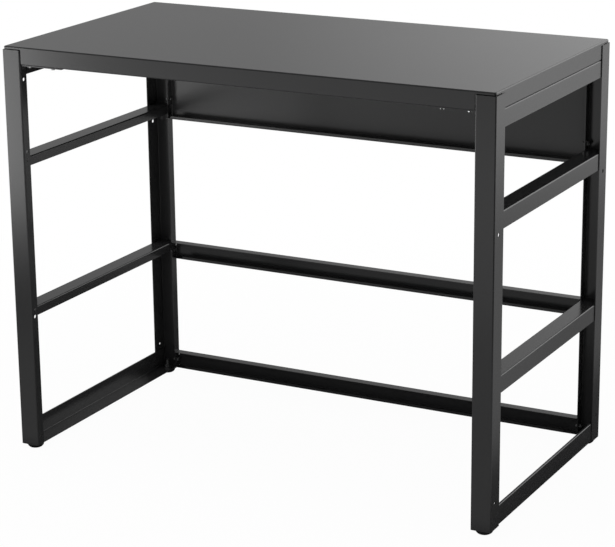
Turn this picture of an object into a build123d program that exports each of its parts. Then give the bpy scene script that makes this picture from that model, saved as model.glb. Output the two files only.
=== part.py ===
from build123d import *
import os

# A knock-down steel desk: a folded worktop pan on two ladder-like side frames,
# joined at the back by a modesty panel and two channels, on four levelling feet.
# Millimetres. Origin on the floor under the middle of the worktop, +X to the right,
# the user sits at -Y, +Z up.

# Overall size
desk_width = 930
desk_depth = 500
desk_height = 745
foot_show = 9

# Sheet steel and its folds
leg_sheet = 1.5
rail_sheet = 1.2
top_sheet = 1.2
back_sheet = 1.0
bracket_sheet = 2.0
inner_fold = 1.0

# Worktop pan
corner_radius = 4
edge_band = 4.5
band_gap = 1.5
lip_height = 31.5
lip_return = 18
lip_gap = 1
lip_tuck = 10
stiffener_width = 36
stiffener_drop = 18
stiffener_flange = 12
stiffener_spacing = 190
stiffener_end_gap = 12

# Legs, folded to a hook: outer side, front or back face, inner return
leg_width = 36
leg_depth = 36
leg_return = 18
fastener_inset = 10
side_hole_radius = 3.5
drain_hole_radius = 2.5
hole_below_rail = 5
hole_above_rail = 11

# Side rails, folded like an upturned channel, with tongues welded inside the legs
rail_height = 30
rail_return = 17
rail_tongue = 10.5
rail_end_gap = 2
tongue_gap = 2
upper_rail_top = 548
lower_rail_top = 271
bottom_rail_height = 36
bottom_rail_hem = 4

# Modesty panel and back channels, with end tabs on the rear legs' returns
panel_bottom = 523
panel_setback = 2
panel_shelf = 25
panel_top_flange = 18
panel_lip_inset = 11
panel_bolt_rise = 35
panel_bolt_drop = 26.5
panel_tab_rise = 25
panel_tab_drop = 11
back_rail_height = 32
back_rail_flange = 19
back_rail_lip_inset = 25
back_rail_setback = 1
back_rail_bolt_rise = 14
back_rail_tab_height = 18
upper_back_rail_bottom = 240
lower_back_rail_bottom = 11.5
shelf_lip = 6
channel_end_gap = 0.5
end_tab_depth = 15
tab_gap = 0.7

# Corner brackets under the front lip
bracket_reach = 83
bracket_gap = 0.5
bracket_setback = 4
bracket_tab_width = 25
bracket_tab_height = 16
bracket_screw_first = 13
bracket_screw_pitch = 48
screw_inset = 11
panel_screw_pitch = 300

# Fasteners
bolt_radius = 2.5
bolt_clearance = 0.75
bolt_head_flats = 8
bolt_head_height = 3.5
bolt_tail = 2
nut_flats = 8
nut_height = 4
thread_clearance = 0.05
screw_radius = 2.4
screw_head_flats = 8
screw_head_height = 3
screw_tail = 4
pin_clearance = 0.1

# Levelling feet
foot_inset = 18
stem_radius = 4
stem_clearance = 0.1
stem_rise = 17
foot_nut_flats = 13
foot_nut_height = 6.5
pad_radius = 15
pad_rim = 2.5
pad_knee_radius = 13
pad_knee_height = 2.5
pad_base_radius = 9
pad_gap = 0.3
socket_depth = 5.5
socket_clearance = 0.05

# Places that follow from the sizes above
half_width = desk_width / 2
half_depth = desk_depth / 2
leg_fold = inner_fold + leg_sheet
rail_fold = inner_fold + rail_sheet
top_fold = inner_fold + top_sheet
back_fold = inner_fold + back_sheet
bracket_fold = inner_fold + bracket_sheet
lip_bottom = desk_height - lip_height
leg_top = desk_height - edge_band - band_gap
leg_inside = half_width - leg_width
fastener_line = half_depth - fastener_inset
leg_middle = half_depth - leg_depth / 2
return_end = half_depth - leg_return
rail_out = half_width - leg_sheet
rail_in = leg_inside + leg_sheet
lip_front = half_depth - leg_sheet
rail_half = lip_front - rail_end_gap
floor_flange = foot_show + rail_sheet
rail_tops = {"top": lip_bottom, "upper": upper_rail_top, "lower": lower_rail_top}
panel_bolts_at = [panel_bottom + panel_bolt_rise, lip_bottom - panel_bolt_drop]
back_rails = {"upper": upper_back_rail_bottom, "lower": lower_back_rail_bottom}
rail_bolts_at = [bottom + back_rail_bolt_rise for bottom in back_rails.values()]
bolt_heights = panel_bolts_at + rail_bolts_at
side_hole_height = upper_rail_top - rail_height - hole_below_rail
drain_hole_height = foot_show + bottom_rail_height + hole_above_rail
tab_start = back_fold + tab_gap
bolt_hole_radius = bolt_radius + bolt_clearance
screw_hole_radius = screw_radius + pin_clearance
screw_line = half_depth - screw_inset
bracket_screws_at = [
    leg_inside - bracket_screw_first,
    leg_inside - bracket_screw_first - bracket_screw_pitch,
]
panel_screws_at = [-panel_screw_pitch, 0, panel_screw_pitch]
tongue_start = return_end - tongue_gap
foot_x = half_width - foot_inset
foot_y = half_depth - foot_inset
pad_top = foot_show - pad_gap
stem_bottom = pad_top - socket_depth
sides = {"left": -1, "right": 1}
ends = {"front": -1, "rear": 1}

os.makedirs("parts", exist_ok=True)


def save(piece, name):
    """Names a finished piece and writes it."""
    piece.part.label = name
    export_step(piece.part, f"parts/{name}.step")


def folded_strip(*points, fold, sheet, side):
    """The section of a folded sheet, from the line of one face of it."""
    with BuildLine() as outline:
        FilletPolyline(*points, radius=fold)
        offset(amount=sheet, side=side)
    make_face(outline.edges())


def turn_to(side, end=-1):
    """Mirrors the piece in hand, drawn at the front right, to its own corner."""
    if side < 0:
        mirror(about=Plane.YZ, mode=Mode.REPLACE)
    if end > 0:
        mirror(about=Plane.XZ, mode=Mode.REPLACE)


def hex_bolt(seat, flats, head_height, radius, length):
    """A six-sided head under the seat plane and a shank that stands on it."""
    with BuildSketch(seat) as head:
        RegularPolygon(flats / 2, 6, major_radius=False)
    extrude(head.sketch, amount=-head_height)
    with BuildSketch(seat) as shank:
        Circle(radius)
    extrude(shank.sketch, amount=length)


def across(x, y, z, side):
    """A plane across the desk at a point, facing outward on the given side."""
    return Plane(origin=(side * x, y, z), x_dir=(0, 1, 0), z_dir=(side, 0, 0))


# Worktop: a shallow tray set in by the legs' sheet, with a low band over the legs and
# deep lips between them, the side lips tucked into the legs
with BuildPart() as top_pan:
    with BuildSketch(Plane.XY.offset(desk_height - edge_band)):
        RectangleRounded(2 * rail_out, 2 * lip_front, corner_radius)
    extrude(amount=edge_band)
    fillet(top_pan.faces().sort_by(Axis.Z)[-1].edges(), top_fold)
    with BuildSketch(Plane.XY.offset(desk_height - edge_band)):
        RectangleRounded(
            2 * (rail_out - top_sheet),
            2 * (lip_front - top_sheet),
            corner_radius - top_sheet,
        )
    extrude(amount=edge_band - top_sheet, mode=Mode.SUBTRACT)
    lip_start = desk_height - top_fold
    for end in ends.values():
        inward = Side.LEFT if end < 0 else Side.RIGHT
        with BuildSketch(Plane.YZ):
            folded_strip(
                (end * lip_front, lip_start),
                (end * lip_front, lip_bottom),
                (end * (lip_front - lip_return), lip_bottom),
                fold=top_fold, sheet=top_sheet, side=inward,
            )
        extrude(amount=leg_inside - lip_gap, both=True)
    for side in sides.values():
        inward = Side.LEFT if side < 0 else Side.RIGHT
        with BuildSketch(Plane.XZ):
            folded_strip(
                (side * rail_out, lip_start),
                (side * rail_out, lip_bottom),
                (side * (rail_out - lip_return), lip_bottom),
                fold=top_fold, sheet=top_sheet, side=inward,
            )
        extrude(amount=half_depth - leg_depth + lip_tuck, both=True)
    with BuildSketch(Plane.XY.offset(lip_bottom)):
        for side in sides.values():
            with Locations(*[(side * x, -screw_line) for x in bracket_screws_at]):
                Circle(screw_hole_radius)
        with Locations(*[(x, screw_line) for x in panel_screws_at]):
            Circle(screw_hole_radius)
    extrude(amount=top_sheet, mode=Mode.SUBTRACT)
save(top_pan, "top_pan")

# Two hat-section stiffeners welded under the worktop
for end_name, end in ends.items():
    with BuildPart() as stiffener:
        under = desk_height - top_sheet
        middle = end * stiffener_spacing / 2
        wall = stiffener_width / 2
        foot = wall + stiffener_flange
        with BuildSketch(Plane.YZ):
            folded_strip(
                (middle - foot, under),
                (middle - wall, under),
                (middle - wall, under - stiffener_drop),
                (middle + wall, under - stiffener_drop),
                (middle + wall, under),
                (middle + foot, under),
                fold=rail_fold, sheet=rail_sheet, side=Side.RIGHT,
            )
        extrude(amount=leg_inside - stiffener_end_gap, both=True)
    save(stiffener, f"{end_name}_top_stiffener")


def leg():
    """A hook-shaped leg at the front right, with its bolt holes, side hole and drain hole."""
    with BuildPart() as piece:
        with BuildSketch(Plane.XY.offset(foot_show)):
            folded_strip(
                (half_width, leg_depth - half_depth),
                (half_width, -half_depth),
                (leg_inside, -half_depth),
                (leg_inside, -return_end),
                fold=leg_fold, sheet=leg_sheet, side=Side.RIGHT,
            )
        extrude(amount=leg_top - foot_show)
        with BuildSketch(Plane.YZ.offset(leg_inside)):
            with Locations(*[(-fastener_line, z) for z in bolt_heights]):
                Circle(bolt_hole_radius)
        extrude(amount=leg_sheet, mode=Mode.SUBTRACT)
        with BuildSketch(Plane.YZ.offset(rail_out)):
            with Locations((-leg_middle, side_hole_height)):
                Circle(side_hole_radius)
            with Locations((-leg_middle, drain_hole_height)):
                Circle(drain_hole_radius)
        extrude(amount=leg_sheet, mode=Mode.SUBTRACT)
    return piece


for end_name, end in ends.items():
    for side_name, side in sides.items():
        with BuildPart() as corner_leg:
            add(leg().part)
            turn_to(side, end)
        save(corner_leg, f"{end_name}_{side_name}_leg")


def side_rail(top):
    """An upturned channel at the right, its inner return cut to a tongue in the legs."""
    with BuildPart() as piece:
        with BuildSketch(Plane.XZ):
            folded_strip(
                (rail_out, top - rail_height),
                (rail_out, top),
                (rail_in, top),
                (rail_in, top - rail_return),
                fold=rail_fold, sheet=rail_sheet, side=Side.LEFT,
            )
        extrude(amount=rail_half, both=True)
        notch = rail_half - tongue_start
        with BuildSketch(Plane.YZ.offset(rail_in)):
            for end in ends.values():
                with Locations((end * (tongue_start + notch / 2), top - rail_return)):
                    Rectangle(notch, 2 * (rail_return - rail_tongue))
        extrude(amount=rail_sheet, mode=Mode.SUBTRACT)
    return piece


for side_name, side in sides.items():
    for rail_name, top in rail_tops.items():
        with BuildPart() as rail:
            add(side_rail(top).part)
            turn_to(side)
        save(rail, f"{side_name}_{rail_name}_rail")

# Bottom rails: hemmed angles whose flange carries the feet
for side_name, side in sides.items():
    with BuildPart() as bottom_rail:
        with BuildSketch(Plane.XZ):
            folded_strip(
                (rail_out - bottom_rail_hem, foot_show + bottom_rail_height),
                (rail_out, foot_show + bottom_rail_height),
                (rail_out, foot_show),
                (rail_in, foot_show),
                fold=rail_fold, sheet=rail_sheet, side=Side.RIGHT,
            )
        extrude(amount=rail_half, both=True)
        with BuildSketch(Plane.XY.offset(foot_show)):
            with Locations((foot_x, -foot_y), (foot_x, foot_y)):
                Circle(stem_radius + stem_clearance)
        extrude(amount=rail_sheet, mode=Mode.SUBTRACT)
        turn_to(side)
    save(bottom_rail, f"{side_name}_bottom_rail")


def back_channel(
    bottom, top, low_flange, high_flange, lip_inset, back, tab_low, tab_high, bolts
):
    """A channel open to the front, lipped along its foot, with a bolted tab at each end."""
    with BuildPart() as piece:
        front = back - low_flange
        with BuildSketch(Plane.YZ):
            folded_strip(
                (front, bottom + shelf_lip),
                (front, bottom),
                (back, bottom),
                (back, top),
                (back - high_flange, top),
                fold=back_fold, sheet=back_sheet, side=Side.LEFT,
            )
        extrude(amount=leg_inside - channel_end_gap, both=True)
        with BuildSketch(Plane.XY.offset(bottom)):
            for side in sides.values():
                with Locations((side * leg_inside, front)):
                    Rectangle(2 * lip_inset, 2 * back_fold)
        extrude(amount=shelf_lip, mode=Mode.SUBTRACT)
        with BuildSketch(Plane.XY.offset(tab_low - tab_gap)):
            for side in sides.values():
                with Locations((side * leg_inside, back)):
                    Rectangle(2 * back_fold, 2 * back_sheet)
        extrude(amount=tab_high - tab_low + 2 * tab_gap, mode=Mode.SUBTRACT)
        for side in sides.values():
            inward = Side.RIGHT if side > 0 else Side.LEFT
            with BuildSketch(Plane.XY.offset(tab_low)):
                folded_strip(
                    (side * (leg_inside - 2 * back_fold), back),
                    (side * leg_inside, back),
                    (side * leg_inside, back - end_tab_depth),
                    fold=back_fold, sheet=back_sheet, side=inward,
                )
            extrude(amount=tab_high - tab_low)
            with BuildSketch(across(leg_inside - back_sheet, 0, 0, side)):
                with Locations(*[(fastener_line, side * z) for z in bolts]):
                    Circle(bolt_hole_radius)
            extrude(amount=back_sheet, mode=Mode.SUBTRACT)
    return piece


with BuildPart() as back_panel:
    add(back_channel(
        panel_bottom, lip_bottom, panel_shelf, panel_top_flange, panel_lip_inset,
        half_depth - panel_setback,
        panel_bottom + panel_tab_rise, lip_bottom - panel_tab_drop, panel_bolts_at,
    ).part)
    with BuildSketch(Plane.XY.offset(lip_bottom - back_sheet)):
        with Locations(*[(x, screw_line) for x in panel_screws_at]):
            Circle(screw_hole_radius)
    extrude(amount=back_sheet, mode=Mode.SUBTRACT)
save(back_panel, "back_panel")

# Both back channels are the same piece
for rail_name, bottom in back_rails.items():
    with BuildPart() as back_rail:
        add(back_channel(
            bottom, bottom + back_rail_height, back_rail_flange, back_rail_flange,
            back_rail_lip_inset, half_depth - back_rail_setback,
            bottom + tab_start, bottom + tab_start + back_rail_tab_height,
            [bottom + back_rail_bolt_rise],
        ).part)
    save(back_rail, f"{rail_name}_back_rail")

# Corner brackets: a plate under the front lip and a tab on the top rail
for side_name, side in sides.items():
    with BuildPart() as bracket:
        inner_end = leg_inside - bracket_reach
        with BuildSketch(Plane.XZ.offset(tongue_start - bracket_tab_width)):
            folded_strip(
                (inner_end, lip_bottom),
                (rail_in, lip_bottom),
                (rail_in, lip_bottom - bracket_tab_height),
                fold=bracket_fold, sheet=bracket_sheet, side=Side.RIGHT,
            )
        extrude(amount=bracket_tab_width)
        with BuildSketch(Plane.XY.offset(lip_bottom - bracket_sheet)):
            with Locations((inner_end, bracket_setback - half_depth)):
                Rectangle(
                    bracket_reach - bracket_gap,
                    half_depth - bracket_setback - tongue_start + bracket_tab_width,
                    align=(Align.MIN, Align.MIN),
                )
        extrude(amount=bracket_sheet)
        with BuildSketch(Plane.XY.offset(lip_bottom - bracket_sheet)):
            with Locations(*[(x, -screw_line) for x in bracket_screws_at]):
                Circle(screw_hole_radius)
        extrude(amount=bracket_sheet, mode=Mode.SUBTRACT)
        turn_to(side)
    save(bracket, f"{side_name}_corner_bracket")

# Bolts through the end tabs and the rear legs' returns, with their nuts
bolt_reach = back_sheet + leg_sheet + nut_height + bolt_tail
for group, heights in {"panel": panel_bolts_at, "back_rail": rail_bolts_at}.items():
    with BuildPart() as bolts:
        for side in sides.values():
            for height in heights:
                seat = across(leg_inside - back_sheet, fastener_line, height, side)
                hex_bolt(seat, bolt_head_flats, bolt_head_height, bolt_radius, bolt_reach)
    save(bolts, f"{group}_bolts")
    with BuildPart() as nuts:
        for side in sides.values():
            for height in heights:
                with BuildSketch(across(rail_in, fastener_line, height, side)):
                    RegularPolygon(nut_flats / 2, 6, major_radius=False)
                    Circle(bolt_radius + thread_clearance, mode=Mode.SUBTRACT)
                extrude(amount=nut_height)
    save(nuts, f"{group}_nuts")

# Screws up into the worktop's lips
with BuildPart() as bracket_screws:
    for side in sides.values():
        for x in bracket_screws_at:
            seat = Plane((side * x, -screw_line, lip_bottom - bracket_sheet))
            grip = bracket_sheet + top_sheet + screw_tail
            hex_bolt(seat, screw_head_flats, screw_head_height, screw_radius, grip)
save(bracket_screws, "bracket_screws")

with BuildPart() as panel_screws:
    for x in panel_screws_at:
        seat = Plane((x, screw_line, lip_bottom - back_sheet))
        grip = back_sheet + top_sheet + screw_tail
        hex_bolt(seat, screw_head_flats, screw_head_height, screw_radius, grip)
save(panel_screws, "panel_screws")

# Levelling feet: a nut welded on the bottom rail, a threaded stem and a domed pad
for end_name, end in ends.items():
    for side_name, side in sides.items():
        corner = f"{end_name}_{side_name}"
        centre = (side * foot_x, end * foot_y)
        with BuildPart() as foot_nut:
            with BuildSketch(Plane.XY.offset(floor_flange)):
                with Locations(centre):
                    RegularPolygon(foot_nut_flats / 2, 6, major_radius=False)
                    Circle(stem_radius + stem_clearance, mode=Mode.SUBTRACT)
            extrude(amount=foot_nut_height)
        save(foot_nut, f"{corner}_foot_nut")

        with BuildPart() as foot_stem:
            with BuildSketch(Plane.XY.offset(stem_bottom)):
                with Locations(centre):
                    Circle(stem_radius)
            extrude(amount=foot_show + stem_rise - stem_bottom)
        save(foot_stem, f"{corner}_foot_stem")

        with BuildPart() as foot_pad:
            with BuildSketch(Plane.XZ):
                with BuildLine():
                    Polyline(
                        (0, 0),
                        (pad_base_radius, 0),
                        (pad_knee_radius, pad_knee_height),
                        (pad_radius, pad_top - pad_rim),
                        (pad_radius, pad_top),
                        (0, pad_top),
                        close=True,
                    )
                make_face()
            revolve(axis=Axis.Z)
            with BuildSketch(Plane.XY.offset(stem_bottom)):
                Circle(stem_radius + socket_clearance)
            extrude(amount=socket_depth, mode=Mode.SUBTRACT)
        foot_pad.part.position = (*centre, 0)
        save(foot_pad, f"{corner}_foot_pad")
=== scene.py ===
import math

import bmesh
import bpy
from bpy.props import (
    FloatProperty,
    FloatVectorProperty,
    IntProperty,
    PointerProperty,
)
from mathutils import Matrix, Vector


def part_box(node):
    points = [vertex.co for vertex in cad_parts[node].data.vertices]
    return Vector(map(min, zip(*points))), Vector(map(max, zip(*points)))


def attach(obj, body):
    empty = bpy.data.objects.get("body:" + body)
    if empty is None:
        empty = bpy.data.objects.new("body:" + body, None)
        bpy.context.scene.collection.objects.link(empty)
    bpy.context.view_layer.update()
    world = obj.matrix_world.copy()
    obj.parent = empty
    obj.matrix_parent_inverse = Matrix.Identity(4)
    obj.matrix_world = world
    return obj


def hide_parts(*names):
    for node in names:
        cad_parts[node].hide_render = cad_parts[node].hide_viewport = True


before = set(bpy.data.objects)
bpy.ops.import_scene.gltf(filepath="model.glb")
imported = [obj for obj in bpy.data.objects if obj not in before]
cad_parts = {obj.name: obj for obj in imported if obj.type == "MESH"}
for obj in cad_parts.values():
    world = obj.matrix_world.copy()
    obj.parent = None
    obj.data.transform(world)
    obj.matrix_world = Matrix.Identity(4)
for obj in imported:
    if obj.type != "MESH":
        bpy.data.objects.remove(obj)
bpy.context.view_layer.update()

# A knock-down desk of folded sheet steel in satin black powder coat, with bright
# zinc fasteners and four levelling feet, on a white studio floor.

bl_info = {
    "name": "Folded steel desk",
    "version": (1, 0, 0),
    "blender": (4, 5, 0),
    "location": "3D View > Sidebar > Steel desk",
    "description": "Finishes, fasteners, feet and studio of a folded steel desk",
    "category": "Object",
}

CORNERS = ("front_left", "front_right", "rear_left", "rear_right")
SIDES = {"left": -1, "right": 1}
MM = 0.001


# Places and sizes read from the frame

def loose_solids(node):
    """The boxes of the separate solids in a CAD node, as pairs of corners."""
    shape = bmesh.new()
    shape.from_mesh(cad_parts[node].data)
    bmesh.ops.remove_doubles(shape, verts=shape.verts, dist=1e-6)
    waiting = set(shape.verts)
    boxes = []
    while waiting:
        reached = [waiting.pop()]
        points = []
        while reached:
            vert = reached.pop()
            points.append(vert.co.copy())
            for edge in vert.link_edges:
                other = edge.other_vert(vert)
                if other in waiting:
                    waiting.remove(other)
                    reached.append(other)
        low = Vector(min(point[i] for point in points) for i in range(3))
        high = Vector(max(point[i] for point in points) for i in range(3))
        boxes.append((low, high))
    shape.free()
    return sorted(boxes, key=lambda box: tuple(round(c, 5) for c in box[0]))


def tab_seats(node, head=0.0):
    """Where the fasteners of a node sit on their tabs, past their heads, and which way."""
    seats = []
    for low, high in loose_solids(node):
        side = math.copysign(1, low.x + high.x)
        middle = (low + high) / 2
        inner = min(abs(low.x), abs(high.x)) + head
        seats.append(((side * inner, middle.y, middle.z), (side, 0, 0)))
    return seats


BOLT_BOX = loose_solids("panel_bolts")[0]
NUT_BOX = loose_solids("panel_nuts")[0]
FOOT_NUT_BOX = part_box("front_left_foot_nut")
STEM_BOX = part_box("front_left_foot_stem")
PAD_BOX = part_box("front_left_foot_pad")


# Settings

def length(name, description, default):
    """A length in metres."""
    return FloatProperty(
        name=name, description=description, default=default, min=0,
        unit="LENGTH", precision=4,
    )


def colour(name, description, default):
    """A linear colour."""
    return FloatVectorProperty(
        name=name, description=description, default=default, size=3,
        min=0, max=1, subtype="COLOR",
    )


def share(name, description, default):
    """A number from 0 to 1."""
    return FloatProperty(
        name=name, description=description, default=default, min=0, max=1,
        subtype="FACTOR",
    )


class DeskFinishes(bpy.types.PropertyGroup):
    """Colours and sheens of the desk's finishes."""

    coat_dark: colour(
        "Coat, dark", "Powder coat where the film is thick", (0.020, 0.020, 0.0205))
    coat_light: colour(
        "Coat, light", "Powder coat where the film is thin", (0.026, 0.026, 0.0265))
    coat_roughness: share(
        "Coat roughness", "Sheen of the powder coat", 0.22)
    # The back panel's coat is a lighter copy of the black coat: its flatter sheen is the coat's
    # own, its lighter colour is painted light.
    painted_lit_panel_dark: colour(
        "Panel, dark", "Flatter coat of the back panel where it is thick",
        (0.035, 0.035, 0.0355))
    painted_lit_panel_light: colour(
        "Panel, light", "Flatter coat of the back panel where it is thin",
        (0.043, 0.043, 0.0435))
    panel_roughness: share(
        "Panel roughness", "Sheen of the back panel's flatter coat", 0.36)
    peel_size: length(
        "Orange peel", "Width of a ripple in the powder coat", 2.2 * MM)
    zinc_bright: colour(
        "Zinc, bright", "Fresh zinc plate", (0.62, 0.62, 0.60))
    zinc_dull: colour(
        "Zinc, dull", "Zinc plate with a dull bloom", (0.42, 0.43, 0.45))
    zinc_roughness: share(
        "Zinc roughness", "Sheen of the zinc plate", 0.26)
    plastic_dark: colour(
        "Plastic, dark", "Moulded foot pad", (0.005, 0.005, 0.005))
    plastic_light: colour(
        "Plastic, scuffed", "Moulded foot pad where it is scuffed", (0.012, 0.012, 0.012))
    plastic_roughness: share(
        "Plastic roughness", "Sheen of the foot pads", 0.48)


class DeskFasteners(bpy.types.PropertyGroup):
    """Sizes of the bolts, nuts and screws."""

    bolt_flats: length(
        "Bolt flats", "Bolt head across flats", BOLT_BOX[1].z - BOLT_BOX[0].z)
    bolt_head: length(
        "Bolt head", "Height of a bolt head", 3.5 * MM)
    bolt_radius: length(
        "Bolt radius", "Radius of a bolt's thread", 2.5 * MM)
    bolt_pitch: length(
        "Bolt pitch", "Rise of a bolt's thread in one turn", 0.8 * MM)
    bolt_thread: length(
        "Bolt thread", "Depth of a bolt's thread", 0.45 * MM)
    bolt_face: length(
        "Bolt face", "Height of the round face under a bolt head", 0.4 * MM)
    nut_flats: length(
        "Nut flats", "Nut across flats", NUT_BOX[1].z - NUT_BOX[0].z)
    screw_flats: length(
        "Screw flats", "Screw head across flats", 6.0 * MM)
    screw_head: length(
        "Screw head", "Height of a screw head with its flange", 3.0 * MM)
    screw_flange: length(
        "Screw flange", "Radius of the flange under a screw head", 4.1 * MM)
    flange_height: length(
        "Flange height", "Height of the flange under a screw head", 0.9 * MM)
    screw_radius: length(
        "Screw radius", "Radius of a screw's thread", 2.4 * MM)
    screw_pitch: length(
        "Screw pitch", "Rise of a screw's thread in one turn", 1.6 * MM)
    screw_thread: length(
        "Screw thread", "Depth of a screw's thread", 0.6 * MM)
    seed: IntProperty(
        name="Seed", description="Sets how far round each head was tightened",
        default=7, min=0)


class DeskFeet(bpy.types.PropertyGroup):
    """Sizes of the levelling feet."""

    stem_radius: length(
        "Stem radius", "Outside of the stem's thread", (STEM_BOX[1].x - STEM_BOX[0].x) / 2)
    thread_pitch: length(
        "Thread pitch", "Rise of the stem's thread in one turn", 1.25 * MM)
    thread_depth: length(
        "Thread depth", "Depth of the stem's thread", 0.7 * MM)
    nut_flats: length(
        "Foot nut flats", "Foot nut across flats", 13.0 * MM)
    pad_radius: length(
        "Pad radius", "Outside of a foot pad", (PAD_BOX[1].x - PAD_BOX[0].x) / 2)
    pad_sole: length(
        "Pad sole", "Radius of the part that stands on the floor", 9.0 * MM)
    pad_rim: length(
        "Pad rim", "Height of the upright rim of a pad", 2.5 * MM)
    pad_edge: length(
        "Pad edge", "Rounding of the rim's upper edge", 0.8 * MM)
    pad_hollow: length(
        "Pad hollow", "Depth of the hollow in a pad's sole", 0.7 * MM)
    pad_chamfer: length(
        "Pad chamfer", "Chamfer of the pad's hole for the stem", 0.4 * MM)


class DeskWelds(bpy.types.PropertyGroup):
    """Sizes of the spot welds that show through the coat."""

    mark_radius: length(
        "Mark radius", "Radius of a spot weld's mark", 3.0 * MM)
    mark_rise: length(
        "Mark rise", "How far the mark's ring stands up", 0.45 * MM)
    dab_radius: length(
        "Dab radius", "Radius of the dab that closes a slit beside a tab's fold", 1.4 * MM)
    dab_rise: length(
        "Dab rise", "How far the dab stands up", 0.3 * MM)
    stiffener_marks: IntProperty(
        name="Stiffener marks", description="Spot welds along each stiffener flange",
        default=7, min=2)
    seed: IntProperty(
        name="Seed", description="Sets how far round each mark is turned", default=3, min=0)


class DeskPlugs(bpy.types.PropertyGroup):
    """Sizes of the plugs in the legs' open tops."""

    plug_wall: length(
        "Plug wall", "Sheet of the leg and the room beside a plug", 2.1 * MM)
    plug_depth: length(
        "Plug depth", "How far a plug reaches into the leg from its outer face", 25.6 * MM)
    plug_height: length(
        "Plug height", "Thickness of a plug", 4 * MM)
    plug_drop: length(
        "Plug drop", "How far a plug's top lies below the leg's top", 0.1 * MM)
    plug_edge: length(
        "Plug edge", "Rounding of a plug's edges", 0.8 * MM)


class DeskStage(bpy.types.PropertyGroup):
    """Light, floor and camera of the studio."""

    top_power: FloatProperty(
        name="Top light", description="Soft box overhead", default=25,
        min=0, unit="POWER")
    strip_power: FloatProperty(
        name="Strip light", description="Tall strip at the front left, for the sheen",
        default=8.7, min=0, unit="POWER")
    fill_level: share(
        "Fill level", "Even light from the room", 0.65)
    backdrop_level: FloatProperty(
        name="Backdrop", description="Backdrop behind the desk, in reflections",
        default=0.305, min=0)
    backdrop_gain: FloatProperty(
        name="Backdrop gain", description="How fast the backdrop's foot gains to the right",
        default=3.4, min=0)
    backdrop_glow: FloatProperty(
        name="Backdrop glow", description="The backdrop's foot at the right, in reflections",
        default=1.56, min=0)
    room_dark: FloatProperty(
        name="Dark room", description="The room behind the camera, in reflections",
        default=0.10, min=0)
    floor_colour: colour(
        "Floor colour", "Paper floor", (0.85, 0.85, 0.85))
    # In reflections the floor is painted with light and shade: the shade colour stands in for
    # the shadow under the desk, and the near, far and belt levels for how brightly the floor is
    # lit.
    floor_shade: colour(
        "Floor shade", "Paper floor under the desk, in reflections", (0.10, 0.10, 0.10))
    floor_near: FloatProperty(
        name="Near floor", description="Paper floor beside the desk, in reflections",
        default=0.37, min=0)
    floor_far: FloatProperty(
        name="Far floor", description="Paper floor away from the desk, in reflections",
        default=0.95, min=0)
    # Painted light: a brighter belt of floor before the desk, seen only in reflections.
    floor_lit_belt: FloatProperty(
        name="Floor belt", description="Brighter belt of floor before the desk, in reflections",
        default=0.2, min=0)
    floor_glow: share(
        "Floor glow", "Share of plain white in what the camera sees of the floor", 0.968)
    lens: FloatProperty(
        name="Lens", description="Focal length of the camera, in millimetres",
        default=128.72, min=1, unit="CAMERA")


GROUPS = {
    "desk_finishes": DeskFinishes,
    "desk_fasteners": DeskFasteners,
    "desk_feet": DeskFeet,
    "desk_welds": DeskWelds,
    "desk_plugs": DeskPlugs,
    "desk_stage": DeskStage,
}


# Node trees

class Value:
    """A node's output that takes part in sums: each sum adds its Math node."""

    def __init__(self, bench, socket):
        self.bench = bench
        self.socket = socket

    def of(self, output):
        """Another output of the same node."""
        return Value(self.bench, self.socket.node.outputs[output])

    def __add__(self, other):
        return self.bench.maths("ADD", self, other)

    def __radd__(self, other):
        return self.bench.maths("ADD", other, self)

    def __sub__(self, other):
        return self.bench.maths("SUBTRACT", self, other)

    def __rsub__(self, other):
        return self.bench.maths("SUBTRACT", other, self)

    def __mul__(self, other):
        return self.bench.maths("MULTIPLY", self, other)

    def __rmul__(self, other):
        return self.bench.maths("MULTIPLY", other, self)

    def __truediv__(self, other):
        return self.bench.maths("DIVIDE", self, other)

    def __neg__(self):
        return self.bench.maths("MULTIPLY", self, -1)


class Bench:
    """A node tree in the making."""

    def __init__(self, tree):
        self.tree = tree

    def add(self, kind, settings=None, sockets=None, out=0):
        """A node: its settings first, then the values or links of its sockets."""
        node = self.tree.nodes.new(kind)
        for name, value in (settings or {}).items():
            setattr(node, name, value)
        for key, value in (sockets or {}).items():
            socket = node.inputs[key]
            for term in value if isinstance(value, list) else [value]:
                if isinstance(term, Value):
                    self.tree.links.new(term.socket, socket)
                else:
                    socket.default_value = term
        if node.outputs:
            return Value(self, node.outputs[out])
        return None

    def maths(self, operation, *terms):
        """A Math node on values and numbers."""
        return self.add("ShaderNodeMath", {"operation": operation}, dict(enumerate(terms)))

    def vector(self, x=0.0, y=0.0, z=0.0):
        """A vector from three values or numbers."""
        return self.add("ShaderNodeCombineXYZ", sockets={"X": x, "Y": y, "Z": z})

    def ramp(self, value, start, end, low=0.0, high=1.0):
        """A soft step from low to high between two values."""
        return self.add("ShaderNodeMapRange", {"interpolation_type": "SMOOTHSTEP"}, {
            "Value": value, "From Min": start, "From Max": end, "To Min": low, "To Max": high})

    def distance(self, x, y, middle):
        """How far a place on the floor lies from a middle."""
        aside, along = x - middle[0], y - middle[1]
        return self.maths("SQRT", aside * aside + along * along)

    def blend(self, factor, first, second):
        """A colour between two colours."""
        return self.add(
            "ShaderNodeMix", {"data_type": "RGBA"}, {0: factor, 6: first, 7: second}, out=2)


# Finishes

def opaque(tint):
    """A colour with its alpha."""
    return (*tint, 1.0)


def new_finish(name):
    """A bare material, its bench and its object coordinates."""
    finish = bpy.data.materials.new(name)
    finish.use_nodes = True
    finish.node_tree.nodes.clear()
    bench = Bench(finish.node_tree)
    return finish, bench, bench.add("ShaderNodeTexCoord", out="Object")


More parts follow.
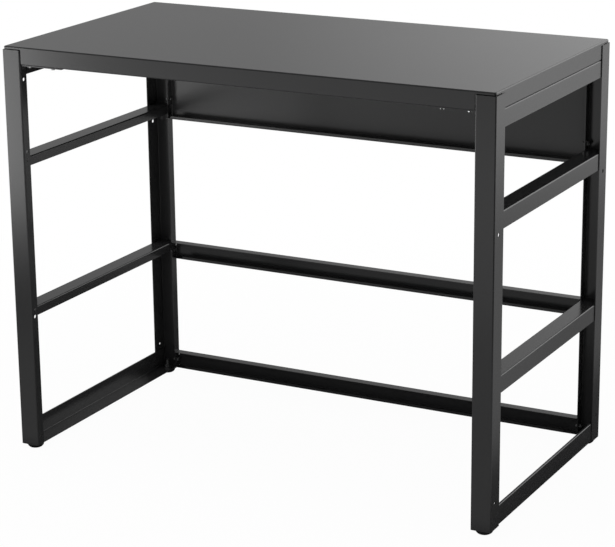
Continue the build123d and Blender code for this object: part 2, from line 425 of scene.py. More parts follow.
def close_finish(bench, **sockets):
    """Ends a finish with its shader."""
    named = {key.replace("_", " "): value for key, value in sockets.items()}
    shader = bench.add("ShaderNodeBsdfPrincipled", sockets=named)
    bench.add("ShaderNodeOutputMaterial", sockets={"Surface": shader})


def noise(bench, place, scale, detail, roughness):
    """A noise from 0 to 1 on the piece's own coordinates."""
    return bench.add("ShaderNodeTexNoise", sockets={
        "Vector": place, "Scale": scale, "Detail": detail, "Roughness": roughness})


def relief(bench, height, strength, depth):
    """A fine relief of the skin."""
    return bench.add("ShaderNodeBump", sockets={
        "Strength": strength, "Distance": depth, "Height": height})


def stirred(value, amount):
    """A noise about 0, for a sheen that isn't even."""
    return (value - 0.5) * amount


# How much of the coat's tint comes from its drift, and how much each noise stirs a sheen
DRIFT_SHARE = 0.7
COAT_DRIFT, COAT_PEEL = 0.02, 0.03
ZINC_BLOOM = 0.25
PLASTIC_SCUFF = 0.2


def powder_coat(name, look, dark, light, roughness):
    """Black powder coat: a fine orange-peel skin, a little uneven in its sheen."""
    finish, bench, place = new_finish(name)
    peel = noise(bench, place, scale=1 / look.peel_size, detail=1.5, roughness=0.4)
    drift = noise(bench, place, scale=6.0, detail=3.0, roughness=0.55)
    film = drift * DRIFT_SHARE + peel * (1 - DRIFT_SHARE)
    skin = relief(bench, peel, strength=0.25, depth=0.03 * MM)
    close_finish(
        bench,
        Base_Color=bench.blend(film, opaque(dark), opaque(light)),
        Roughness=roughness + stirred(drift, COAT_DRIFT) + stirred(peel, COAT_PEEL),
        Normal=skin,
        IOR=1.5,
    )
    return finish


def satin_powder_coat(look):
    """The coat of the worktop, legs and rails."""
    return powder_coat(
        "satin_powder_coat", look, look.coat_dark, look.coat_light, look.coat_roughness)


def flat_painted_lit_powder_coat(look):
    """The back panel's coat, flatter than the rest, its colour painted lighter to stand in for
    the light on the panel.
    """
    return powder_coat(
        "flat_painted_lit_powder_coat", look, look.painted_lit_panel_dark, look.painted_lit_panel_light, look.panel_roughness)


def bright_zinc_plate(look):
    """Bright zinc plate with a dull bloom and fine turning marks."""
    finish, bench, place = new_finish("bright_zinc_plate")
    bloom = noise(bench, place, scale=260.0, detail=3.0, roughness=0.6)
    marks = noise(bench, place, scale=2600.0, detail=2.0, roughness=0.5)
    skin = relief(bench, marks, strength=0.3, depth=0.02 * MM)
    close_finish(
        bench,
        Base_Color=bench.blend(bloom, opaque(look.zinc_bright), opaque(look.zinc_dull)),
        Metallic=1.0,
        Roughness=look.zinc_roughness + stirred(bloom, ZINC_BLOOM),
        Normal=skin,
    )
    return finish


def moulded_black_plastic(look):
    """Black plastic with a fine moulded grain, scuffed in places."""
    finish, bench, place = new_finish("moulded_black_plastic")
    grain = noise(bench, place, scale=1800.0, detail=2.0, roughness=0.5)
    scuff = noise(bench, place, scale=140.0, detail=4.0, roughness=0.6)
    skin = relief(bench, grain, strength=0.4, depth=0.05 * MM)
    close_finish(
        bench,
        Base_Color=bench.blend(scuff, opaque(look.plastic_dark), opaque(look.plastic_light)),
        Roughness=look.plastic_roughness + stirred(scuff, PLASTIC_SCUFF),
        Normal=skin,
        IOR=1.48,
    )
    return finish


FINISHES = {
    "black_powder_coat": satin_powder_coat,
    "zinc_plate": bright_zinc_plate,
    "black_plastic": moulded_black_plastic,
}


def finish_for(slot):
    """The finish of a material slot, which the first operator has made."""
    return bpy.data.materials[FINISHES[slot].__name__]


# Pieces

def keep(mesh, name, body, slot, *replaced):
    """Puts a finished mesh on its body, in place of the nodes it stands for."""
    mesh.name = name
    piece = bpy.data.objects.new(name, mesh)
    bpy.context.scene.collection.objects.link(piece)
    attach(piece, body)
    if replaced:
        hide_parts(*replaced)
    return piece


def new_tree(name, sizes):
    """A geometry tree with named sizes, as a bench and its inputs by name."""
    tree = bpy.data.node_groups.new(name, "GeometryNodeTree")
    tree.interface.new_socket("Seats", in_out="INPUT", socket_type="NodeSocketGeometry")
    for label in sizes:
        kind = "NodeSocketInt" if label == "Seed" else "NodeSocketFloat"
        tree.interface.new_socket(label, in_out="INPUT", socket_type=kind)
    tree.interface.new_socket("Finish", in_out="INPUT", socket_type="NodeSocketMaterial")
    tree.interface.new_socket("Pieces", in_out="OUTPUT", socket_type="NodeSocketGeometry")
    bench = Bench(tree)
    entry = bench.add("NodeGroupInput")
    return bench, {socket.name: entry.of(socket.name)
                   for socket in entry.socket.node.outputs if socket.name}


def close_tree(bench, given, shape, crease):
    """Sets the shape on every seat, turned by chance about its axis."""
    smooth = bench.add("GeometryNodeSetShadeSmooth", {"domain": "FACE"}, {
        0: shape, "Shade Smooth": True})
    bend = bench.add("GeometryNodeInputMeshEdgeAngle")
    sharp = bench.add("FunctionNodeCompare", {"operation": "GREATER_THAN"}, {
        0: bend, 1: math.radians(crease)})
    creased = bench.add("GeometryNodeSetShadeSmooth", {"domain": "EDGE"}, {
        0: smooth, "Selection": sharp, "Shade Smooth": False})
    facing = bench.add("GeometryNodeInputNamedAttribute", {"data_type": "FLOAT_VECTOR"}, {
        "Name": "facing"})
    aimed = bench.add("FunctionNodeAlignRotationToVector", {"axis": "Z"}, {"Vector": facing})
    turn = bench.add("FunctionNodeRandomValue", {"data_type": "FLOAT"}, {
        2: 0.0, 3: math.tau, "Seed": given["Seed"]}, out=1)
    twist = bench.add("FunctionNodeAxisAngleToRotation", sockets={
        "Axis": (0, 0, 1), "Angle": turn})
    seated = bench.add("FunctionNodeRotateRotation", {"rotation_space": "LOCAL"}, {
        "Rotation": aimed, "Rotate By": twist})
    spread = bench.add("GeometryNodeInstanceOnPoints", sockets={
        "Points": given["Seats"], "Instance": creased, "Rotation": seated})
    real = bench.add("GeometryNodeRealizeInstances", sockets={"Geometry": spread})
    dressed = bench.add("GeometryNodeSetMaterial", sockets={
        "Geometry": real, "Material": given["Finish"]})
    bench.add("NodeGroupOutput", sockets={"Pieces": dressed})
    return bench.tree


def shifted(bench, shape, z):
    """A shape moved along its axis."""
    return bench.add("GeometryNodeTransform", sockets={
        "Geometry": shape, "Translation": bench.vector(z=z)})


# Shares of a hexagon's flats: the radius of its turned end and of the round face under it
CROWN_SHARE = 0.47
FACE_SHARE = 0.475


def chamfered_hexagon(bench, flats, height, both_ends):
    """A six-sided block from Z 0 down to minus height, its corners turned off."""
    slope = math.tan(math.radians(60))
    crown = flats * CROWN_SHARE
    spare = height * 0.2
    tall = height + spare
    block = bench.add("GeometryNodeMeshCylinder", sockets={
        "Vertices": 6, "Radius": flats / math.sqrt(3), "Depth": tall})
    cone = bench.add("GeometryNodeMeshCone", sockets={
        "Vertices": 60, "Radius Bottom": crown, "Radius Top": crown + tall * slope,
        "Depth": tall})
    if not both_ends:
        cutters = [shifted(bench, block, tall * -0.5), shifted(bench, cone, -height)]
    else:
        upper = bench.add("GeometryNodeMeshCone", sockets={
            "Vertices": 60, "Radius Bottom": crown + tall * slope, "Radius Top": crown,
            "Depth": tall})
        cutters = [
            shifted(bench, block, height * -0.5),
            shifted(bench, cone, -height),
            shifted(bench, upper, -tall),
        ]
    return bench.add(
        "GeometryNodeMeshBoolean", {"operation": "INTERSECT", "solver": "EXACT"},
        {"Mesh 2": cutters})


def threaded_rod(bench, radius, rod, pitch, depth):
    """A rod from Z 0 up, with a screw thread and a blunted tip."""
    rings_a_turn = 6
    blunt = 0.8
    bar = bench.add("GeometryNodeMeshCylinder", {"fill_type": "NGON"}, {
        "Vertices": 24, "Side Segments": rod / pitch * rings_a_turn,
        "Radius": radius, "Depth": rod})
    place = bench.add("GeometryNodeInputPosition")
    x = bench.add("ShaderNodeSeparateXYZ", sockets={"Vector": place}, out="X")
    y, z = x.of("Y"), x.of("Z")
    lead = z / pitch - bench.maths("ARCTAN2", y, x) / math.tau
    flank = bench.maths("ABSOLUTE", bench.maths("FRACT", lead) - 0.5) * 2
    tip = bench.maths("MINIMUM", (rod * 0.5 - z) / pitch, 1)
    girth = (1 - depth / radius * flank) * (blunt + (1 - blunt) * tip)
    cut = bench.vector(x * girth, y * girth, z + rod * 0.5)
    return bench.add("GeometryNodeSetPosition", sockets={"Geometry": bar, "Position": cut})


def hex_fastener_tree():
    """A hex head under the seat, on a round flange, and a threaded shank above it."""
    bench, given = new_tree("hex_fastener", (
        "Flats", "Head", "Flange radius", "Flange", "Radius", "Length", "Pitch", "Depth",
        "Seed"))
    flange = bench.add("GeometryNodeMeshCylinder", sockets={
        "Vertices": 48, "Radius": given["Flange radius"], "Depth": given["Flange"]})
    head = chamfered_hexagon(
        bench, given["Flats"], given["Head"] - given["Flange"], both_ends=False)
    shank = threaded_rod(
        bench, given["Radius"], given["Length"], given["Pitch"], given["Depth"])
    shape = bench.add("GeometryNodeJoinGeometry", sockets={"Geometry": [
        shifted(bench, flange, given["Flange"] * -0.5),
        shifted(bench, head, -given["Flange"]),
        shank,
    ]})
    return close_tree(bench, given, shape, crease=32)


def hex_nut_tree():
    """A nut above the seat, its corners turned off at both ends."""
    bench, given = new_tree("hex_nut", ("Flats", "Height", "Bore", "Seed"))
    block = chamfered_hexagon(bench, given["Flats"], given["Height"], both_ends=True)
    drill = bench.add("GeometryNodeMeshCylinder", sockets={
        "Vertices": 32, "Radius": given["Bore"], "Depth": given["Height"] * 3})
    bored = bench.add(
        "GeometryNodeMeshBoolean", {"operation": "DIFFERENCE", "solver": "EXACT"},
        {"Mesh 1": block, "Mesh 2": drill})
    return close_tree(bench, given, shifted(bench, bored, given["Height"]), crease=28)


def threaded_stem_tree():
    """A threaded stem that stands on its seat."""
    bench, given = new_tree("threaded_stem", ("Radius", "Length", "Pitch", "Depth", "Seed"))
    stem = threaded_rod(
        bench, given["Radius"], given["Length"], given["Pitch"], given["Depth"])
    return close_tree(bench, given, stem, crease=40)


def spot_weld_tree():
    """A low ring round a dimple, as the coat leaves it over a spot weld."""
    bench, given = new_tree("spot_weld", ("Radius", "Rise", "Seed"))
    disc = bench.add("GeometryNodeMeshCone", sockets={
        "Vertices": 32, "Side Segments": 10, "Radius Top": given["Radius"] * 0.02,
        "Radius Bottom": given["Radius"], "Depth": given["Rise"]})
    place = bench.add("GeometryNodeInputPosition")
    x = bench.add("ShaderNodeSeparateXYZ", sockets={"Vector": place}, out="X")
    y = x.of("Y")
    reach = bench.maths("SQRT", x * x + y * y) / given["Radius"]
    swell = 1 - (2 * reach - 1) * (2 * reach - 1)
    ring = bench.vector(x, y, swell * given["Rise"])
    side = bench.add("GeometryNodeSetPosition", sockets={"Geometry": disc, "Position": ring})
    return close_tree(bench, given, side, crease=60)


def grown(name, seats, tree, sizes, slot):
    """The plain mesh that a tree makes on its seats, each a point and a direction."""
    points = bpy.data.meshes.new(f"{name}_seats")
    points.from_pydata([point for point, _ in seats], [], [])
    facing = points.attributes.new("facing", "FLOAT_VECTOR", "POINT")
    facing.data.foreach_set("vector", [part for _, way in seats for part in way])
    source = bpy.data.objects.new(f"{name}_seats", points)
    bpy.context.scene.collection.objects.link(source)
    modifier = source.modifiers.new("Seats", "NODES")
    modifier.node_group = tree
    sizes = {**sizes, "Finish": finish_for(slot)}
    for item in tree.interface.items_tree:
        if item.in_out == "INPUT" and item.name in sizes:
            modifier[item.identifier] = sizes[item.name]
    ready = bpy.context.evaluated_depsgraph_get()
    mesh = bpy.data.meshes.new_from_object(
        source.evaluated_get(ready), preserve_all_data_layers=True, depsgraph=ready)
    source.modifiers.remove(modifier)
    bpy.data.objects.remove(source)
    bpy.data.meshes.remove(points)
    return mesh


def turned(profile, centre, steps, slot):
    """A round mesh from an open profile of (radius, height) that ends on the axis."""
    shape = bmesh.new()
    rings = []
    for radius, height in profile:
        if radius == 0:
            rings.append([shape.verts.new((0, 0, height))] * steps)
            continue
        angles = [math.tau * step / steps for step in range(steps)]
        rings.append([
            shape.verts.new((radius * math.cos(a), radius * math.sin(a), height))
            for a in angles
        ])
    for lower, upper in zip(rings, rings[1:]):
        for i in range(steps):
            j = (i + 1) % steps
            loop = dict.fromkeys((lower[i], lower[j], upper[j], upper[i]))
            shape.faces.new(list(loop))
    bmesh.ops.recalc_face_normals(shape, faces=shape.faces)
    for face in shape.faces:
        face.smooth = True
    for edge in shape.edges:
        edge.smooth = edge.calc_face_angle(0) < math.radians(35)
    bmesh.ops.translate(shape, verts=shape.verts, vec=centre)
    mesh = bpy.data.meshes.new("turned")
    shape.to_mesh(mesh)
    shape.free()
    mesh.materials.append(finish_for(slot))
    return mesh


def arc(start, bend_start, bend_end, end, steps):
    """Points on a cubic curve, without its first."""
    corners = [Vector(p) for p in (start, bend_start, bend_end, end)]
    points = []
    for step in range(1, steps + 1):
        t = step / steps
        s = 1 - t
        weights = (s ** 3, 3 * s * s * t, 3 * s * t * t, t ** 3)
        point = sum((w * c for w, c in zip(weights, corners)), Vector((0, 0)))
        points.append((point.x, point.y))
    return points


# Operators

class DESK_OT_coat(bpy.types.Operator):
    """Coat the folded steel and plate the fasteners"""

    bl_idname = "steel_desk.coat"
    bl_label = "Coat sheet steel"

    def execute(self, context):
        look = context.scene.desk_finishes
        made = {slot: make(look) for slot, make in FINISHES.items()}
        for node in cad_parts.values():
            for holder in node.material_slots:
                holder.material = made[holder.material.name.split(".")[0]]
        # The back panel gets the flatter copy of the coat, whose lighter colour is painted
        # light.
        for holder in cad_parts["back_panel"].material_slots:
            holder.material = flat_painted_lit_powder_coat(look)
        return {"FINISHED"}


class DESK_OT_bolts(bpy.types.Operator):
    """Fit the bolts of the back panel's and back rails' tabs"""

    bl_idname = "steel_desk.bolts"
    bl_label = "Bolts"

    def execute(self, context):
        sizes = context.scene.desk_fasteners
        tree = hex_fastener_tree()
        for node in ("panel_bolts", "back_rail_bolts"):
            mesh = grown(node, tab_seats(node, sizes.bolt_head), tree, {
                "Flats": sizes.bolt_flats,
                "Head": sizes.bolt_head,
                "Flange radius": sizes.bolt_flats * FACE_SHARE,
                "Flange": sizes.bolt_face,
                "Radius": sizes.bolt_radius,
                "Length": BOLT_BOX[1].x - BOLT_BOX[0].x - sizes.bolt_head,
                "Pitch": sizes.bolt_pitch,
                "Depth": sizes.bolt_thread,
                "Seed": sizes.seed,
            }, "zinc_plate")
            keep(mesh, f"{node}_plated", "frame", "zinc_plate", node)
        return {"FINISHED"}


class DESK_OT_nuts(bpy.types.Operator):
    """Fit the nuts behind the rear legs' returns and on the bottom rails"""

    bl_idname = "steel_desk.nuts"
    bl_label = "Nuts"

    def execute(self, context):
        sizes = context.scene.desk_fasteners
        feet = context.scene.desk_feet
        tree = hex_nut_tree()
        for node in ("panel_nuts", "back_rail_nuts"):
            mesh = grown(node, tab_seats(node), tree, {
                "Flats": sizes.nut_flats,
                "Height": NUT_BOX[1].x - NUT_BOX[0].x,
                "Bore": sizes.bolt_radius,
                "Seed": sizes.seed,
            }, "zinc_plate")
            keep(mesh, f"{node}_plated", "frame", "zinc_plate", node)
        nodes = [f"{corner}_foot_nut" for corner in CORNERS]
        seats = []
        for node in nodes:
            low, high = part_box(node)
            seats.append((((low.x + high.x) / 2, (low.y + high.y) / 2, low.z), (0, 0, 1)))
        mesh = grown("foot_nuts", seats, tree, {
            "Flats": feet.nut_flats,
            "Height": FOOT_NUT_BOX[1].z - FOOT_NUT_BOX[0].z,
            "Bore": feet.stem_radius,
            "Seed": sizes.seed,
        }, "zinc_plate")
        keep(mesh, "foot_nuts_plated", "frame", "zinc_plate", *nodes)
        return {"FINISHED"}


class DESK_OT_screws(bpy.types.Operator):
    """Fit the flanged screws of the corner brackets and of the back panel"""

    bl_idname = "steel_desk.screws"
    bl_label = "Screws"

    def execute(self, context):
        sizes = context.scene.desk_fasteners
        tree = hex_fastener_tree()
        for node in ("bracket_screws", "panel_screws"):
            boxes = loose_solids(node)
            seats = []
            for low, high in boxes:
                middle = (low + high) / 2
                seats.append(((middle.x, middle.y, low.z + sizes.screw_head), (0, 0, 1)))
            mesh = grown(node, seats, tree, {
                "Flats": sizes.screw_flats,
                "Head": sizes.screw_head,
                "Flange radius": sizes.screw_flange,
                "Flange": sizes.flange_height,
                "Radius": sizes.screw_radius,
                "Length": boxes[0][1].z - boxes[0][0].z - sizes.screw_head,
                "Pitch": sizes.screw_pitch,
                "Depth": sizes.screw_thread,
                "Seed": sizes.seed,
            }, "zinc_plate")
            keep(mesh, f"{node}_plated", "frame", "zinc_plate", node)
        return {"FINISHED"}


# A pad's outline: how far the ring of the sole runs in, flat and then up to the hollow, how the
# dome bends out of the sole and into the rim, and how tightly the rim's edge is rounded
SOLE_RING = (1.8 * MM, 2.4 * MM)
DOME_START_BEND = (2.6 * MM, 0.35 * MM)
DOME_END_BEND = (0.4 * MM, 3.2 * MM)
EDGE_BEND = 0.3 * MM


class DESK_OT_feet(bpy.types.Operator):
    """Fit the threaded stems and the moulded pads of the levelling feet"""

    bl_idname = "steel_desk.feet"
    bl_label = "Levelling feet"

    def execute(self, context):
        sizes = context.scene.desk_feet
        tree = threaded_stem_tree()
        for corner in CORNERS:
            body = f"{corner}_foot"
            low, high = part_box(f"{body}_stem")
            middle = ((low.x + high.x) / 2, (low.y + high.y) / 2)
            stem = grown(f"{body}_stem", [((*middle, low.z), (0, 0, 1))], tree, {
                "Radius": sizes.stem_radius,
                "Length": high.z - low.z,
                "Pitch": sizes.thread_pitch,
                "Depth": sizes.thread_depth,
                "Seed": 0,
            }, "zinc_plate")
            keep(stem, f"{body}_stem_threaded", body, "zinc_plate", f"{body}_stem")
            pad_low, pad_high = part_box(f"{body}_pad")
            top = pad_high.z - pad_low.z
            sole, rim = sizes.pad_sole, sizes.pad_radius
            socket = sizes.stem_radius
            edge, hollow, chamfer = sizes.pad_edge, sizes.pad_hollow, sizes.pad_chamfer
            dome = arc(
                (sole, 0), (sole + DOME_START_BEND[0], DOME_START_BEND[1]),
                (rim - DOME_END_BEND[0], DOME_END_BEND[1]), (rim, top - sizes.pad_rim),
                steps=14)
            lip = arc(
                (rim, top - edge), (rim, top - EDGE_BEND),
                (rim - EDGE_BEND, top), (rim - edge, top), steps=4)
            profile = [
                (0, hollow), (sole - SOLE_RING[1], hollow), (sole - SOLE_RING[0], 0), (sole, 0),
                *dome, (rim, top - edge), *lip,
                (socket + chamfer, top), (socket, top - chamfer),
                (socket, low.z - pad_low.z), (0, low.z - pad_low.z),
            ]
            pad = turned(profile, (*middle, pad_low.z), steps=72, slot="black_plastic")
            keep(pad, f"{body}_pad_moulded", body, "black_plastic", f"{body}_pad")
        return {"FINISHED"}


# Where the spot welds lie: below a side rail's top, behind and above the corner of a bracket's
# tab, and in from a stiffener's edges, with the sheet that each lies on
RAIL_MARK_DROP = 5.3 * MM
BRACKET_MARK = (12.5 * MM, 7 * MM)
BRACKET_SHEET = 2.0 * MM
STIFFENER_MARK = 6 * MM
STIFFENER_SHEET = 1.2 * MM

# Where the slits beside the tabs' folds lie: in from a back piece's end and rear face, and by
# half a slit past the tab, and how far the tabs start above its foot and end below its top
SLIT_IN = 1.2 * MM
SLIT_FORWARD = 1.0 * MM
SLIT_HALF = 0.35 * MM
TAB_ENDS = {
    "back_panel": (25 * MM, 11 * MM),
    "upper_back_rail": (2.7 * MM, 11.3 * MM),
    "lower_back_rail": (2.7 * MM, 11.3 * MM),
}


class DESK_OT_welds(bpy.types.Operator):
    """Mark the spot welds and close the slits beside the tabs' folds"""

    bl_idname = "steel_desk.welds"
    bl_label = "Spot welds"

    def execute(self, context):
        sizes = context.scene.desk_welds
        tree = spot_weld_tree()
        line = (BOLT_BOX[0].y + BOLT_BOX[1].y) / 2
        seats = []
        for side_name, side in SIDES.items():
            face = abs(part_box(f"front_{side_name}_leg")[0 if side > 0 else 1].x)
            for rail in ("top", "upper", "lower"):
                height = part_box(f"{side_name}_{rail}_rail")[1].z - RAIL_MARK_DROP
                for end in (-line, line):
                    seats.append(((side * face, end, height), (-side, 0, 0)))
            low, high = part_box(f"{side_name}_corner_bracket")
            tab = max(abs(low.x), abs(high.x)) - BRACKET_SHEET
            back, rise = BRACKET_MARK
            seats.append(((side * tab, high.y - back, low.z + rise), (-side, 0, 0)))
        for end_name in ("front", "rear"):
            low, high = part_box(f"{end_name}_top_stiffener")
            span = high.x - low.x
            for y in (low.y + STIFFENER_MARK, high.y - STIFFENER_MARK):
                for mark in range(sizes.stiffener_marks):
                    x = low.x + span * (mark + 0.5) / sizes.stiffener_marks
                    seats.append(((x, y, high.z - STIFFENER_SHEET), (0, 0, -1)))
        mesh = grown("weld_marks", seats, tree, {
            "Radius": sizes.mark_radius,
            "Rise": sizes.mark_rise,
            "Seed": sizes.seed,
        }, "black_powder_coat")
        keep(mesh, "weld_marks", "frame", "black_powder_coat")
        slits = []
        for node, (rise, drop) in TAB_ENDS.items():
            low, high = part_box(node)
            y = high.y - SLIT_FORWARD
            for side in SIDES.values():
                x = side * (high.x - SLIT_IN)
                for z in (low.z + rise - SLIT_HALF, high.z - drop + SLIT_HALF):
                    slits.append(((x, y, z), (0, -1, 0)))
        mesh = grown("tab_welds", slits, tree, {
            "Radius": sizes.dab_radius,
            "Rise": sizes.dab_rise,
            "Seed": sizes.seed,
        }, "black_powder_coat")
        keep(mesh, "tab_welds", "frame", "black_powder_coat")
        return {"FINISHED"}


class DESK_OT_plugs(bpy.types.Operator):
    """Plug the legs' open tops"""

    bl_idname = "steel_desk.plugs"
    bl_label = "Leg plugs"

    def execute(self, context):
        sizes = context.scene.desk_plugs
        for corner in CORNERS:
            low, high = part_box(f"{corner}_leg")
            end = math.copysign(1, low.y + high.y)
            face = max(abs(low.y), abs(high.y))
            outer, inner = face - sizes.plug_wall, face - sizes.plug_depth
            top = high.z - sizes.plug_drop
            shape = bmesh.new()
            bmesh.ops.create_cube(shape, size=1)
            span = (high.x - low.x - 2 * sizes.plug_wall, outer - inner, sizes.plug_height)
            bmesh.ops.scale(shape, vec=span, verts=shape.verts)
            bmesh.ops.bevel(
                shape, geom=shape.edges[:], offset=sizes.plug_edge, segments=3,
                profile=0.5, affect="EDGES")
            bmesh.ops.translate(shape, verts=shape.verts, vec=(
                (low.x + high.x) / 2, end * (outer + inner) / 2, top - sizes.plug_height / 2))
            mesh = bpy.data.meshes.new(f"{corner}_leg_plug")
            shape.to_mesh(mesh)
            shape.free()
            mesh.materials.append(finish_for("black_plastic"))
            keep(mesh, f"{corner}_leg_plug", "frame", "black_plastic")
        return {"FINISHED"}


# Studio
#
# The coat is black, so most of what shows on it is the room that it mirrors. Each zone is a soft
# step: where it starts and ends, and its levels there where they aren't 0 and 1. Directions in
# the room run from -1 to 1, and places on the floor are in metres.

BACKDROP_EDGE = (-0.1, 0.3)
BACKDROP_FOOT = (0.15, 0.40, 1.0, 0.0)
BACKDROP_TOP = (0.35, 0.80)
FOOT_LIFT_FROM, FOOT_LIFT_RATE = -0.35, 0.35
GLOW_FROM = -0.48

# In reflections the floor glows with painted light and shade: dim beside the desk and brighter
# away from it, with a painted lit belt before it, a painted shadow patch at the front left and
# painted shadow under it.
FLOOR_RADIUS = 7.0
FLOOR_MIDDLE = (0.1, 0.35)
FLOOR_WHITE = (0.6, 1.6)
REAR_SLANT = 0.37
# Middle of a painted shadow, a dark patch on the floor seen only in reflections
PAINTED_SHADOW_PATCH_MIDDLE = (-1.05, -1.1)
SHADOW_MIDDLE = (0.0, 0.25)
SHADOW_HALF = (0.58, 0.5)
FLOOR_ZONES = {
    "far_left": (-2.0, -0.5, 0.5, 0.0),
    "far_right": (-0.5, 0.8, 0.75, 1.0),
    "far_front": (-3.5, -2.8, 0.6, 1.0),
    "spread": (1.4, 3.0),
    "belt_bend": (-1.0, -0.6, 0.0, 0.7),
    "belt_near": (-1.4, -1.2, 1.0, 0.0),
    "belt_far": (-2.3, -2.05),
    "rear": (0.0, 0.5),
    "rear_sweep": (0.38, 0.66, 0.80, 1.18),
    "painted_shadow_patch": (0.15, 0.5, 0.2, 1.0),
    "shadow_edge": (-0.01, 0.07),
}

# The dark screen's round outline, with its turns in degrees
FLAG_MIDDLE = (0.465, -0.25)
FLAG_RADIUS, FLAG_HEIGHT = 0.9, 1.6
FLAG_TURNS = range(-85, 12, 4)
FLAG_CLOTH = (0.02, 0.02, 0.02, 1)
WHITE = (1, 1, 1, 1)

TOP_SOFT_BOX = {
    "place": (-0.5, -0.4, 3.2), "target": (0, 0, 0.4), "size": (1.6, 1.6)}
STRIP_LIGHT = {
    "place": (-1.55, -1.365, 0.68), "target": (-0.65, -0.105, 0.68), "size": (0.6, 1.3)}
STRIP_KEPT_OFF = (
    "rear_left_leg", "upper_back_rail", "lower_back_rail",
    "back_rail_bolts_plated", "back_rail_nuts_plated", "tab_welds",
)

# The camera's place, and its swing, tilt and roll in degrees
CAMERA_PLACE = (1.7717, -3.3283, 1.4552)
CAMERA_TURNS = (-28.06, 16.67, -0.62)


def soft_box(name, place, target, size, power, sheen):
    """A rectangular lamp, out of the camera's sight, for the sheen or for the rest."""
    lamp = bpy.data.lights.new(name, "AREA")
    lamp.shape = "RECTANGLE"
    lamp.size, lamp.size_y = size
    lamp.energy = power
    holder = bpy.data.objects.new(name, lamp)
    bpy.context.scene.collection.objects.link(holder)
    holder.location = place
    holder.rotation_mode = "QUATERNION"
    holder.rotation_quaternion = (Vector(target) - Vector(place)).to_track_quat("-Z", "Y")
    holder.visible_camera = False
    holder.visible_glossy = sheen
    holder.visible_diffuse = not sheen
    return holder


def kept_off(lamp, *names):
    """Keeps a lamp's light off some pieces, as a flag beside the desk would."""
    spared = bpy.data.collections.new(f"{lamp.name}_kept_off")
    for name in names:
        spared.objects.link(bpy.data.objects[name])
    lamp.light_linking.receiver_collection = spared
    for link in spared.collection_objects:
        link.light_linking.link_state = "EXCLUDE"


def seen_rays(bench):
    """Whether a ray is the camera's, and whether it is one of a reflection's."""
    camera = bench.add("ShaderNodeLightPath", out="Is Camera Ray")
    mirrored = camera.of("Is Glossy Ray") + camera.of("Is Transmission Ray")
    return camera, mirrored


def studio_room(stage):
    """White behind the desk, a lit backdrop in its reflections, and an even fill light."""
    world = bpy.data.worlds.new("studio_room")
    world.use_nodes = True
    world.node_tree.nodes.clear()
    bench = Bench(world.node_tree)
    camera, mirrored = seen_rays(bench)
    way = bench.add("ShaderNodeTexCoord", out="Generated")
    x = bench.add("ShaderNodeSeparateXYZ", sockets={"Vector": way}, out="X")
    y, z = x.of("Y"), x.of("Z")
    behind = bench.ramp(y, *BACKDROP_EDGE)
    lift = bench.maths("MAXIMUM", x - FOOT_LIFT_FROM, 0) * FOOT_LIFT_RATE
    foot = bench.ramp(z - lift, *BACKDROP_FOOT)
    gain = bench.maths("MAXIMUM", (x - GLOW_FROM) * stage.backdrop_gain, 0)
    glow = bench.maths("MINIMUM", gain, stage.backdrop_glow)
    upward = bench.ramp(z, *BACKDROP_TOP, stage.backdrop_level, 0.0)
    backdrop = stage.room_dark + behind * (upward + foot * glow)
    strength = camera + mirrored * backdrop + (1 - camera - mirrored) * stage.fill_level
    room = bench.add("ShaderNodeBackground", sockets={
        "Color": WHITE, "Strength": strength})
    bench.add("ShaderNodeOutputWorld", sockets={"Surface": room})
    bpy.context.scene.world = world


def set_piece(name, shape, finish):
    """Stands a finished shape on the stage."""
    mesh = bpy.data.meshes.new(name)
    shape.to_mesh(mesh)
    shape.free()
    mesh.materials.append(finish)
    holder = bpy.data.objects.new(name, mesh)
    bpy.context.scene.collection.objects.link(holder)
    return holder


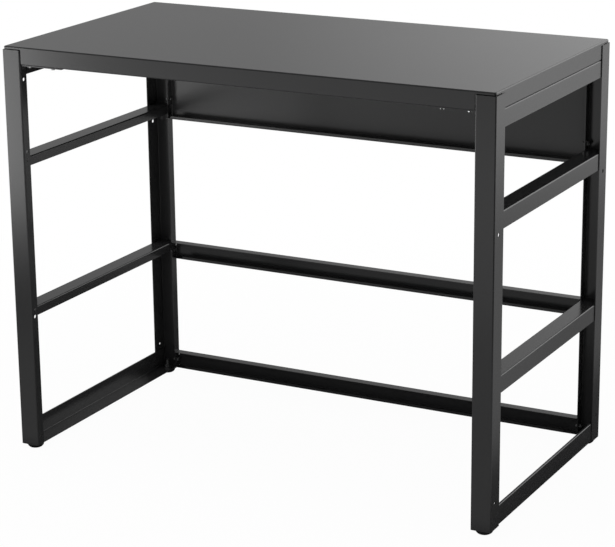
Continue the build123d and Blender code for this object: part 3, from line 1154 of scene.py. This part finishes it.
def paper_floor(stage):
    """A round paper floor, white to the camera but for the desk's shadow, and painted with light
    and shade by place in reflections.
    """
    shape = bmesh.new()
    bmesh.ops.create_circle(shape, cap_ends=True, segments=96, radius=FLOOR_RADIUS)
    finish, bench, place = new_finish("studio_paper")
    camera, mirrored = seen_rays(bench)
    x = bench.add("ShaderNodeSeparateXYZ", sockets={"Vector": place}, out="X")
    y = x.of("Y")

    def zone(value, name):
        return bench.ramp(value, *FLOOR_ZONES[name])

    far = (zone(x, "far_left") + zone(x, "far_right")) * zone(y, "far_front") * stage.floor_far
    rise = zone(bench.distance(x, y, FLOOR_MIDDLE), "spread") * (far - stage.floor_near)
    # Painted light: a lit belt of floor before the desk, in reflections.
    lit_belt = zone(y, "belt_near") * zone(y + zone(x, "belt_bend"), "belt_far")
    swung = 1 + zone(y, "rear") * (zone(x - y * REAR_SLANT, "rear_sweep") - 1)
    # Painted shadow: a dark patch on the floor at the front left, seen only in reflections.
    painted_shadow_patch = zone(bench.distance(x, y, PAINTED_SHADOW_PATCH_MIDDLE), "painted_shadow_patch")
    sheen = (stage.floor_near + rise + lit_belt * stage.floor_lit_belt) * swung * painted_shadow_patch
    # Painted shadow under the desk in reflections: there the floor shows only its dark shade
    # colour.
    beside = bench.maths("ABSOLUTE", x - SHADOW_MIDDLE[0]) - SHADOW_HALF[0]
    before = bench.maths("ABSOLUTE", y - SHADOW_MIDDLE[1]) - SHADOW_HALF[1]
    lit = zone(bench.maths("MAXIMUM", beside, before), "shadow_edge")
    tint = bench.blend(mirrored, opaque(stage.floor_colour), opaque(stage.floor_shade))
    paper = bench.add("ShaderNodeBsdfDiffuse", sockets={"Color": tint})
    white = bench.add("ShaderNodeEmission", sockets={
        "Color": WHITE, "Strength": camera + mirrored * sheen})
    reach = bench.add("ShaderNodeVectorMath", {"operation": "LENGTH"}, {0: place}, out="Value")
    seen = camera * bench.ramp(reach, *FLOOR_WHITE, stage.floor_glow, 1.0)
    surface = bench.add("ShaderNodeMixShader", sockets={
        0: seen + mirrored * lit, 1: paper, 2: white})
    bench.add("ShaderNodeOutputMaterial", sockets={"Surface": surface})
    set_piece("paper_floor", shape, finish)


def black_flag():
    """A dark curved screen at the front right, seen in reflections alone."""
    shape = bmesh.new()
    columns = []
    for turn in map(math.radians, FLAG_TURNS):
        x = FLAG_MIDDLE[0] + FLAG_RADIUS * math.cos(turn)
        y = FLAG_MIDDLE[1] + FLAG_RADIUS * math.sin(turn)
        columns.append([shape.verts.new((x, y, z)) for z in (0.0, FLAG_HEIGHT)])
    for one, two in zip(columns, columns[1:]):
        shape.faces.new((one[0], two[0], two[1], one[1]))
    finish, bench, _ = new_finish("flag_cloth")
    cloth = bench.add("ShaderNodeBsdfDiffuse", sockets={"Color": FLAG_CLOTH})
    bench.add("ShaderNodeOutputMaterial", sockets={"Surface": cloth})
    flag = set_piece("black_flag", shape, finish)
    flag.visible_camera = False
    flag.visible_diffuse = False
    flag.visible_shadow = False
    flag.visible_transmission = False


def studio_camera(stage):
    """A camera at the front right, a little above the worktop, turned by a hair."""
    swing, tilt, roll = map(math.radians, CAMERA_TURNS)
    ahead = Vector((
        math.sin(swing) * math.cos(tilt), math.cos(swing) * math.cos(tilt), -math.sin(tilt)))
    level = Vector((math.cos(swing), -math.sin(swing), 0))
    above = level.cross(ahead)
    right = math.cos(roll) * level + math.sin(roll) * above
    up = math.cos(roll) * above - math.sin(roll) * level
    lens = bpy.data.cameras.new("studio_camera")
    lens.sensor_width = 36.0
    lens.lens = stage.lens
    lens.clip_end = 50.0
    camera = bpy.data.objects.new("studio_camera", lens)
    bpy.context.scene.collection.objects.link(camera)
    turn = Matrix((right, up, -ahead)).transposed().to_4x4()
    camera.matrix_world = Matrix.Translation(CAMERA_PLACE) @ turn
    bpy.context.scene.camera = camera


class DESK_OT_stage(bpy.types.Operator):
    """Set up the floor, the light and the camera"""

    bl_idname = "steel_desk.stage"
    bl_label = "Studio"

    def execute(self, context):
        stage = context.scene.desk_stage
        context.scene.view_settings.view_transform = "Standard"
        studio_room(stage)
        paper_floor(stage)
        black_flag()
        soft_box("top_soft_box", power=stage.top_power, sheen=False, **TOP_SOFT_BOX)
        strip = soft_box("strip_light", power=stage.strip_power, sheen=True, **STRIP_LIGHT)
        kept_off(strip, *STRIP_KEPT_OFF)
        studio_camera(stage)
        return {"FINISHED"}


OPERATORS = (
    DESK_OT_coat,
    DESK_OT_bolts,
    DESK_OT_nuts,
    DESK_OT_screws,
    DESK_OT_feet,
    DESK_OT_welds,
    DESK_OT_plugs,
    DESK_OT_stage,
)


class DESK_PT_steel_desk(bpy.types.Panel):
    """Steps and settings of the steel desk"""

    bl_idname = "DESK_PT_steel_desk"
    bl_label = "Steel desk"
    bl_space_type = "VIEW_3D"
    bl_region_type = "UI"
    bl_category = "Steel desk"

    def draw(self, context):
        layout = self.layout
        for operator in OPERATORS:
            layout.operator(operator.bl_idname)
        for name in GROUPS:
            settings = getattr(context.scene, name)
            box = layout.box()
            box.label(text=name.replace("_", " ").capitalize())
            for field in settings.bl_rna.properties:
                if field.identifier not in ("rna_type", "name"):
                    box.prop(settings, field.identifier)


CLASSES = (*GROUPS.values(), *OPERATORS, DESK_PT_steel_desk)


def register():
    for kind in CLASSES:
        bpy.utils.register_class(kind)
    for name, group in GROUPS.items():
        setattr(bpy.types.Scene, name, PointerProperty(type=group))


def unregister():
    for name in GROUPS:
        delattr(bpy.types.Scene, name)
    for kind in reversed(CLASSES):
        bpy.utils.unregister_class(kind)


def main():
    register()
    for operator in OPERATORS:
        group, name = operator.bl_idname.split(".")
        getattr(getattr(bpy.ops, group), name)()


if __name__ == "__main__":
    main()
